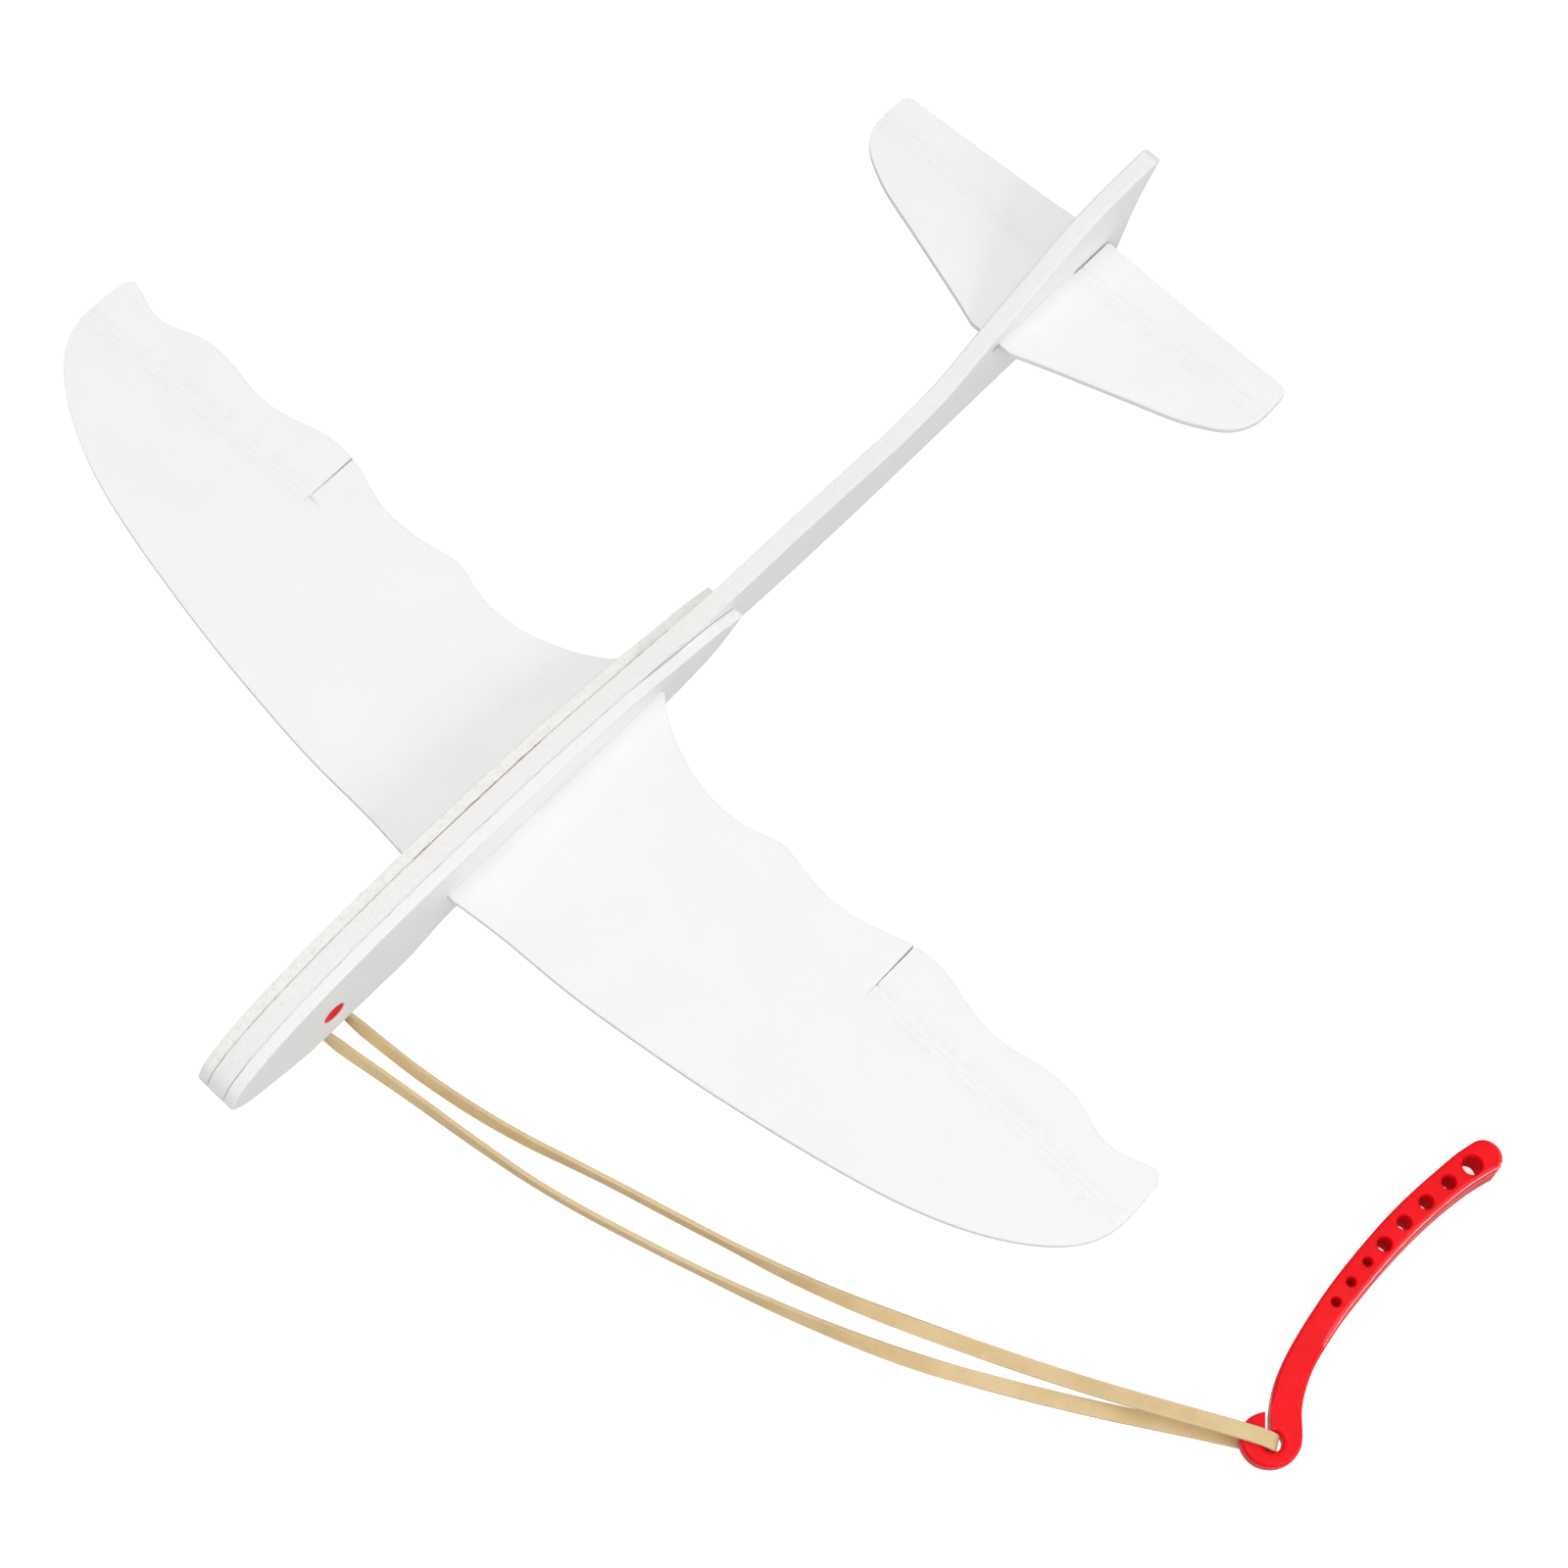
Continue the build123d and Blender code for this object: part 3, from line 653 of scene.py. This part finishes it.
nose_end = arc(CORE_TOP[0], (-29.75, 12.35), NOSE_BOTTOM[0])
core_loop = join(
    (spline(CORE_TOP), fin_round),
    (arc(CORE_TOP[-1], (271.35, 37.05), FIN_TE[0]), 0.9),
    (spline(FIN_TE), 0.8),
    (line(FIN_TE[-1], BOOM_BOTTOM[0]), 0.4),
    (spline(BOOM_BOTTOM), 0.35),
    (line(BOOM_BOTTOM[-1], BELLY_RISE[0]), 0.12),
    (spline(BELLY_RISE, 0.6, (-1, 0), (-1, 0)), 0.12),
    (line((18, 4), (2.2, 4)), 0.12), (line((2.2, 4), (2.2, 9)), 0.0),
    (np.array(INSERT), 0.0), (line((-2.2, 9), (-2.2, 4)), 0.0),
    (line((-2.2, 4), (-8.5, 4)), 0.12),
    (spline(NOSE_BOTTOM[::-1]), 0.3), (nose_end[::-1], 0.35))
core = slab("fuselage_core_foam",
            [core_loop, rect(34.55, 101.55, 14.97, 17.03),
             rect(215.0, 255.4, 19.37, 21.43)],
            -2.4, 2.4, side_place, foam_core, "airframe",
            grid=3.0)
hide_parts("fuselage_core")

CHEEK_TOP = [(x, z) for x, z in CORE_TOP if x < 90] + [
    (96.5, 23.2), (104.0, 21.6), (111.5, 20.0), (119.5, 18.4), (127.6, 15.6)]
cheek_loop = join(
    (spline(CHEEK_TOP), 0.32),
    (spline([(127.6, 15.6), (119.5, 10.9), (110.9, 9.0), (101.0, 8.2)]), 0.3),
    (line((101.0, 8.2), (99.0, 7.3), 0.5), 0.3),
    (line((99.0, 7.3), BELLY_RISE[0]), 0.32),
    (spline(BELLY_RISE, 0.6, (-1, 0), (-1, 0)), 0.35),
    (line((18, 4), (-8.5, 4)), 0.35),
    (spline(NOSE_BOTTOM[::-1]), 0.5), (nose_end[::-1], 0.6))
slot_loop = join((line((34.5, 14.93), (101.6, 14.93)), 0.12),
                 (line((101.6, 14.93), (101.6, 17.07), 0.5), 0.12),
                 (line((101.6, 17.07), (34.5, 17.07)), 0.12),
                 (line((34.5, 17.07), (34.5, 14.93), 0.5), 0.12))
boss_hole = (circle((0.2, 11.8), 2.9, 64), 0.35)
for name, sign, mat in (("cheek_left", 1, foam_port_shaded),
                        ("cheek_right", -1, foam_star)):
    lo, hi = (2.55, 5.4) if sign > 0 else (-5.4, -2.55)
    obj = slab(name + "_foam", [cheek_loop, slot_loop, boss_hole], lo, hi,
               side_place, mat, "airframe", grid=3.0,
               share=(0.3, 1.0) if sign > 0 else (1.0, 0.3))
    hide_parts(name)

for name in ("adhesive_left", "adhesive_right"):
    for s in nodes[name].material_slots:
        s.material = glue_brown
for s in nodes["launch_hook"].material_slots:
    s.material = red

top_line = spline(CORE_TOP, 0.5)


def bead(name, x, y0, y1, lift, mat, size):
    pts = [(x + 0.03 * math.sin(y * 1.7), y, z + lift)
           for y, z in top_line if y0 <= y <= y1]
    n = len(pts)
    r = size * (0.75 + 0.35 * np.sin(np.arange(n) * 0.31)
                * np.sin(np.arange(n) * 0.113 + 1.0)
                + 0.12 * rng.standard_normal(n))
    r = np.clip(r, 0.3 * size, 1.4 * size)
    r[0] = r[-1] = 0.2 * size
    return tube(name, pts, r, mat, "airframe")


bead("glue_line_right", -2.475, 33.0, 72.0, -0.08, glue_brown, 0.17)
bead("glue_line_right_nose", -2.475, -24.0, 33.5, -0.05, glue_tan, 0.14)
bead("glue_line_right_aft", -2.475, 71.5, 112.0, -0.05, glue_tan, 0.14)
bead("glue_line_left", 2.475, -22.0, 112.0, -0.05, glue_grey, 0.15)


# -------------------------------------------------------------------- wing
WING_LE = [(20, 35.8), (38, 36.6), (56, 38.4), (74, 40.8), (92, 43.9),
           (110, 47.6), (122, 50.7), (134, 55.0), (143, 59.5), (150, 64.3),
           (154.5, 68.6), (157.6, 73.5), (159.1, 79.5), (159.2, 84.5),
           (158.8, 90.0)]
WING_TE = [(156.5, 93.0), (153, 91.9), (149.5, 90.7), (146, 90.2), (141, 91.1),
           (135, 93.2), (128.5, 93.8), (122, 93.1), (116, 92.0), (110, 92.0),
           (104, 93.0), (98, 94.8), (92, 95.6), (86.4, 95.2), (80, 93.4),
           (74, 91.6), (68, 90.9), (62, 91.1), (56, 92.1), (50, 93.0),
           (44, 91.5), (38, 90.3), (32, 90.3), (26, 91.2), (20, 93.2),
           (14, 95.8), (9, 99.0)]
STRIP = 1.3
RIM = 0.38
A0, A1 = np.array((86.4, 81.5)), np.array((158.6, 79.5))
slope = (A1[1] - A0[1]) / (A1[0] - A0[0])


def crease_y(x):
    return A0[1] + slope * (x - A0[0])


le = np.concatenate([line((0, 34.6), (6.9, 34.6)),
                     spline([(7, 34.6)] + WING_LE, 0.7)])
tip = arc(WING_LE[-1], (158.0, 92.1), WING_TE[0], 0.3)
te = spline(WING_TE, 0.7)
root = np.concatenate([line(WING_TE[-1], (6.2, 101.5), 0.6),
                       line((6.2, 101.5), (0, 101.5))[1:]])
# the leading edge reaches the crease line at the tip, ahead of and behind it
full = np.concatenate([le, tip[1:], te[1:]])
cut_x = 86.4


def rim_of(flag):
    return lambda p: np.where(flag(p), RIM, 0.0)


def split_at(path, test):
    """Runs of a path where test holds."""
    keep = np.array([test(p) for p in path])
    return path[keep]


def edge_x(path, y_of, rising=True):
    """x on the path where it crosses y_of(x)."""
    d = path[:, 1] - np.array([y_of(x) for x in path[:, 0]])
    i = int(np.argmax((d[:-1] < 0) & (d[1:] >= 0)))
    t = -d[i] / (d[i + 1] - d[i])
    return path[i] + t * (path[i + 1] - path[i])


tip_front = edge_x(np.concatenate([le, tip[1:]]),
                   lambda x: crease_y(x) - STRIP)
tip_back = edge_x(np.concatenate([le, tip[1:]]),
                  lambda x: crease_y(x) + STRIP)
outer = np.concatenate([le, tip[1:]])
ahead = outer[outer[:, 1] < np.array([crease_y(x) - STRIP
                                      for x in outer[:, 0]]) - 0.02]
behind = outer[(outer[:, 0] > 150)
               & (outer[:, 1] > np.array([crease_y(x) + STRIP
                                          for x in outer[:, 0]]) + 0.02)]


def te_y(x):
    order = np.argsort(te[:, 0])
    return float(np.interp(x, te[order, 0], te[order, 1]))


GAP0, GAP1 = 0.04, 0.22
front_in = np.array((cut_x, crease_y(cut_x) - STRIP))
cut_top = np.array((cut_x - GAP1, te_y(cut_x - GAP1)))
te_inner = te[te[:, 0] < cut_x - GAP1 - 0.1]
half_main = join((ahead, RIM),
                 (tip_front[None], 0.0),
                 (line(tip_front, front_in), 0.0),
                 (line(front_in + (0, 0.02), (cut_x - GAP0, crease_y(cut_x)),
                       0.6), 0.0),
                 (line((cut_x - GAP0, crease_y(cut_x)), cut_top), 0.06),
                 (te_inner, RIM), (root, RIM))
pts, rad = half_main
mirrored = pts[::-1] * (-1, 1)
both = np.concatenate([pts, mirrored])
both_r = np.concatenate([rad, rad[::-1]])
keep = [0]
for i in range(1, len(both)):
    if np.linalg.norm(both[i] - both[keep[-1]]) > 1e-3:
        keep.append(i)
if np.linalg.norm(both[keep[-1]] - both[0]) < 1e-3:
    keep.pop()


def wing_root_painted_shade(p, z):
    """Painted shade: a soft grey band on the wing beside the fuselage, where the
    fuselage's shadow falls.
    """
    x = abs(p[0])
    return 0.010 * math.exp(-((x - 12.0) / 11.0) ** 2) if x < 45 else 0.0


wing = slab("wing_sheet", [(both[keep], both_r[keep])], 15.0, 17.0,
            flat_place, foam_sheet, "airframe", grid=4.0,
            painted_shade=wing_root_painted_shade)
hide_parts("wing_panel")

flap_in = np.array((cut_x + GAP0, crease_y(cut_x) + STRIP))
te_outer = te[te[:, 0] > cut_x + GAP1 + 0.1]
flap_loop = join((tip_back[None], 0.0), (behind, RIM), (tip[1:], RIM),
                 (te_outer, RIM),
                 (line((cut_x + GAP1, te_y(cut_x + GAP1)), flap_in), 0.06),
                 (line(flap_in, tip_back), 0.0))


def crease_strip(name, inner, outer_pt, y_of, ends, z, place, mat,
                 half=STRIP, groove=0.12, depth=0.15, gap=0.04):
    """The pressed crease: a narrow strip with a fine groove."""
    across = [-half, -0.75 * half, -groove * 2, -groove, 0.0, groove,
              groove * 2, 0.75 * half, half]
    dip = [0, 0, 0.03, 0.35, 1.0, 0.35, 0.03, 0, 0]
    bm = bmesh.new()
    rim_l = bm.verts.layers.float.new("rim")
    painted_shade_layer = bm.verts.layers.float.new("painted_shade")
    rings = []
    count = max(6, int((outer_pt - inner) / 1.5))
    for i in range(count + 1):
        ring = []
        s = i / count
        rows = []
        for a, g in zip(across, dip):
            x0 = inner + gap
            x1 = float(np.interp(a, [-half, half], ends))
            x = x0 + (x1 - x0) * s
            y = y_of(x) + a
            rows.append((x, y, g))
        edge = 0.0
        if i == count:
            edge = 0.12
        for x, y, g in rows:
            v = bm.verts.new(Vector(place(x, y, z + 1.0 - depth * g
                                          - edge)) * MM)
            v[rim_l] = 0.5 * g
            # painted shade along the groove of the crease, on the top side only
            v[painted_shade_layer] = 0.10 * g
            ring.append(v)
        for x, y, g in rows[::-1]:
            v = bm.verts.new(Vector(place(x, y, z - 1.0 + 0.3 * depth * g
                                          + edge)) * MM)
            v[rim_l] = 0.5 * g
            v[painted_shade_layer] = 0.0
            ring.append(v)
        rings.append(ring)
    n = len(rings[0])
    for r0, r1 in zip(rings, rings[1:]):
        for i in range(n):
            j = (i + 1) % n
            bm.faces.new((r0[i], r0[j], r1[j], r1[i]))
    bm.faces.new(rings[0][::-1])
    bm.faces.new(rings[-1])
    bmesh.ops.recalc_face_normals(bm, faces=bm.faces)
    obj = finish_mesh(name, bm, mat, None, 30)
    at = np.array(place(inner, y_of(inner), z)) * MM
    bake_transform(obj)
    return obj


for side, place in (("left", flat_place), ("right", mirror_place)):
    flap = slab("aileron_%s_sheet" % side, [flap_loop], 15.0, 17.0, place,
                foam_sheet, "aileron_" + side, grid=4.0)
    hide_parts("aileron_" + side)
    crease_strip("aileron_%s_crease_strip" % side, cut_x, 158.9, crease_y,
                 (tip_front[0], tip_back[0]), 16.0, place, foam_sheet)


# --------------------------------------------------------------- tailplane
TAIL_LE = [(12, 219.1), (20, 221.8), (30, 225.1), (38, 227.7), (46, 230.5),
           (51, 233.0), (55, 235.6), (57.6, 238.7), (59.0, 242.3),
           (59.3, 246.3), (59.1, 251.4)]
TAIL_TE = [(56.6, 253.6), (50, 253.7), (34, 254.1), (18, 254.6), (10, 255.0)]
HY = 244.1
E0 = 2.9


def hinge_y(x):
    return HY


t_le = np.concatenate([line((0, 216.9), (5.9, 216.9)),
                       spline([(6, 216.9)] + TAIL_LE, 0.5)])
t_tip = arc(TAIL_LE[-1], (58.35, 252.9), TAIL_TE[0], 0.3)
t_te = spline(TAIL_TE + [(5.5, 255.3)], 0.7)
t_outer = np.concatenate([t_le, t_tip[1:]])
t_front = edge_x(t_outer, lambda x: HY - STRIP)
t_back = edge_x(t_outer, lambda x: HY + STRIP)
t_ahead = t_outer[t_outer[:, 1] < HY - STRIP - 0.02]
t_behind = t_outer[(t_outer[:, 1] > HY + STRIP + 0.02)]
tail_half = join((t_ahead, RIM), (t_front[None], 0.0),
                 (line(t_front, (E0, HY - STRIP)), 0.0),
                 (line((E0 - 0.1, HY - STRIP), (2.5, HY), 0.6), 0.0),
                 (line((2.5, HY), (2.5, 255.3)), 0.05),
                 (line((2.5, 255.3), (0, 255.3)), 0.1))
pts, rad = tail_half
both = np.concatenate([pts, pts[::-1] * (-1, 1)])
both_r = np.concatenate([rad, rad[::-1]])
keep = [0]
for i in range(1, len(both)):
    if np.linalg.norm(both[i] - both[keep[-1]]) > 1e-3:
        keep.append(i)
if np.linalg.norm(both[keep[-1]] - both[0]) < 1e-3:
    keep.pop()
tail = slab("tailplane_sheet", [(both[keep], both_r[keep])], 19.4, 21.4,
            flat_place, foam_sheet, "airframe", grid=3.0)
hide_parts("tailplane")
elev_loop = join((t_back[None], 0.0), (t_behind, RIM), (t_te, RIM),
                 (line((5.5, 255.3), (E0 + 0.6, 255.3), 0.6), RIM),
                 (line((E0 + 0.1, 254.8), (E0, HY + STRIP)), 0.06),
                 (line((E0, HY + STRIP), t_back), 0.0))
for side, place in (("left", flat_place), ("right", mirror_place)):
    flap = slab("elevator_%s_sheet" % side, [elev_loop], 19.4, 21.4, place,
                foam_sheet, "elevator_" + side, grid=3.0)
    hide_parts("elevator_" + side)
    crease_strip("elevator_%s_crease_strip" % side, E0, 59.2, hinge_y,
                 (t_front[0], t_back[0]), 20.4, place, foam_sheet,
                 depth=0.12, gap=0.0)


# --------------------------------------------------------------- hand grip
GRIP_LEFT = [(200.9, 145.6), (200.1, 142.5), (199.4, 138.0), (198.7, 132.3),
             (198.1, 126.3), (197.8, 119.8), (197.8, 113.7), (198.0, 107.0),
             (198.4, 100.8), (199.1, 94.8), (200.0, 89.2), (201.1, 84.0),
             (202.6, 79.2), (204.3, 75.6), (206.3, 72.5)]
HOOK_BOW = [(205.4, 71.9), (204.1, 69.9), (203.7, 67.2), (204.9, 64.4),
            (207.3, 62.7), (210.6, 62.4), (213.7, 64.0), (215.7, 67.2),
            (215.8, 70.6), (214.3, 73.4)]
GRIP_RIGHT = [(211.0, 77.2), (208.7, 81.2), (206.8, 86.6), (205.9, 91.8),
              (205.2, 97.4), (204.8, 103.6), (204.6, 109.7), (204.6, 115.6),
              (204.8, 121.7), (205.3, 127.8), (206.1, 133.9), (207.3, 139.9),
              (208.7, 144.6)]
GRIP_HOLES = [((204.0, 141.9), 2.2), ((202.7, 135.5), 1.6),
              ((201.9, 128.8), 1.6), ((201.3, 122.2), 1.6),
              ((201.2, 115.7), 1.6), ((201.0, 110.3), 1.05),
              ((201.2, 104.6), 1.05), ((201.6, 99.2), 1.05)]
EYE = np.array((210.4, 68.3))
EYE_R = 2.15
a0 = math.atan2(69.628 - EYE[1], 208.71 - EYE[0])
a1 = math.atan2(68.493 - EYE[1], 208.259 - EYE[0]) - 2 * math.pi
t = np.linspace(a0, a1, 56)
eye = EYE + EYE_R * np.stack([np.cos(t), np.sin(t)], 1)


def eye_round(p):
    n = np.arange(len(p))
    return np.clip(np.minimum(n, len(p) - 1 - n) / 5.0, 0.15, 1) * 1.1


def bow_round(p):
    y = p[:, 1]
    up = np.interp(y, [60, 74, 88, 100, 150], [0.95, 0.95, 1.0, 1.25, 1.25])
    n = np.arange(len(p))
    return up * np.clip(n / 6.0, 0.25, 1)


grip_loop = join(
    (spline(GRIP_LEFT, 0.6),
     lambda p: 0.75 * np.clip((len(p) - 1 - np.arange(len(p))) / 6.0, 0.3, 1)),
    (line((206.3, 72.5), (208.71, 69.628), 0.4), 0.16), (eye, eye_round),
    (line((208.259, 68.493), (205.4, 71.9), 0.4), 0.16),
    (spline(HOOK_BOW + GRIP_RIGHT, 0.5), bow_round),
    (arc(GRIP_RIGHT[-1], (205.4, 148.9), GRIP_LEFT[0]), 0.8))


def grip_half(y):
    s = np.clip((y - 76.0) / 29.0, 0, 1)
    return 2.3 + 2.2 * s * s * (3 - 2 * s)


def grip_material(k, p):
    """Dull bores, a polished edge along the holed grip, satin elsewhere."""
    if k:
        return 2
    middle = 201.6 + 0.10 * max(p[1] - 128.0, 0.0)
    return 1 if p[1] > 90.0 and p[0] > middle and (
        p[2] > 4.5 + 0.5 * float(grip_half(np.array([p[1]]))[0])) else 0


grip = slab("launch_handle_moulding",
            [grip_loop] + [(circle(c, r, 40), 0.28) for c, r in GRIP_HOLES],
            lambda p: 4.5 - grip_half(p[:, 1]),
            lambda p: 4.5 + grip_half(p[:, 1]),
            flat_place, red, "handle", grid=1.6, steps=6,
            more=(red_gloss, red_bore), pick=grip_material)
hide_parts("launch_handle")


# ---------------------------------------------------------- floor and light
floor_mat = Nodes("floor")
floor_mat.set(Base_Color=floor_mat.mix(
    floor_mat.span(floor_mat.noise(9, 3), 0.3, 0.7), (0.62, 0.62, 0.62),
    (0.935, 0.935, 0.935)), Roughness=0.8, Specular_IOR_Level=0.1,
    Emission_Color=(1, 1, 1, 1), Emission_Strength=0.74)
bm = bmesh.new()
bmesh.ops.create_grid(bm, x_segments=24, y_segments=24, size=4.0)
mesh = bpy.data.meshes.new("floor")
bm.to_mesh(mesh)
bm.free()
mesh.materials.append(floor_mat.mat)
floor = bpy.data.objects.new("floor", mesh)
floor.location = (0.1, 0.1, -0.0002)
scene.collection.objects.link(floor)
floor.visible_diffuse = False
floor.visible_glossy = False

world = bpy.data.worlds.new("studio")
world.use_nodes = True
tree = world.node_tree
back = tree.nodes["Background"]
back.inputs["Color"].default_value = (1.0, 1.0, 1.0, 1.0)
heading = tree.nodes.new("ShaderNodeTexCoord")
split = tree.nodes.new("ShaderNodeSeparateXYZ")
tree.links.new(heading.outputs["Generated"], split.inputs[0])
ramp = tree.nodes.new("ShaderNodeMapRange")
ramp.interpolation_type = "SMOOTHSTEP"
tree.links.new(split.outputs[2], ramp.inputs["Value"])
ramp.inputs["From Min"].default_value = -0.05
ramp.inputs["From Max"].default_value = 0.75
ramp.inputs["To Min"].default_value = 0.51
ramp.inputs["To Max"].default_value = 0.66
tree.links.new(ramp.outputs[0], back.inputs["Strength"])
scene.world = world


def area_light(name, at, aim, size, power):
    data = bpy.data.lights.new(name, "AREA")
    data.shape = "RECTANGLE"
    data.size, data.size_y = size
    data.energy = power
    obj = bpy.data.objects.new(name, data)
    obj.location = at
    obj.rotation_euler = (Vector(aim) - Vector(at)).to_track_quat(
        "-Z", "Y").to_euler()
    scene.collection.objects.link(obj)
    return obj


area_light("key", (-0.05, -0.05, 1.5), (0.05, 0.1, 0), (1.3, 1.3), 8.2)
area_light("port_fill", (1.5, -0.15, 0.75), (0.1, 0.1, 0.02), (0.6, 0.6), 7.6)
area_light("edge_strip", (1.2, 0.5, 0.5), (0.2, 0.11, 0), (0.80, 0.12), 7.0)
bpy.data.objects["edge_strip"].visible_diffuse = False
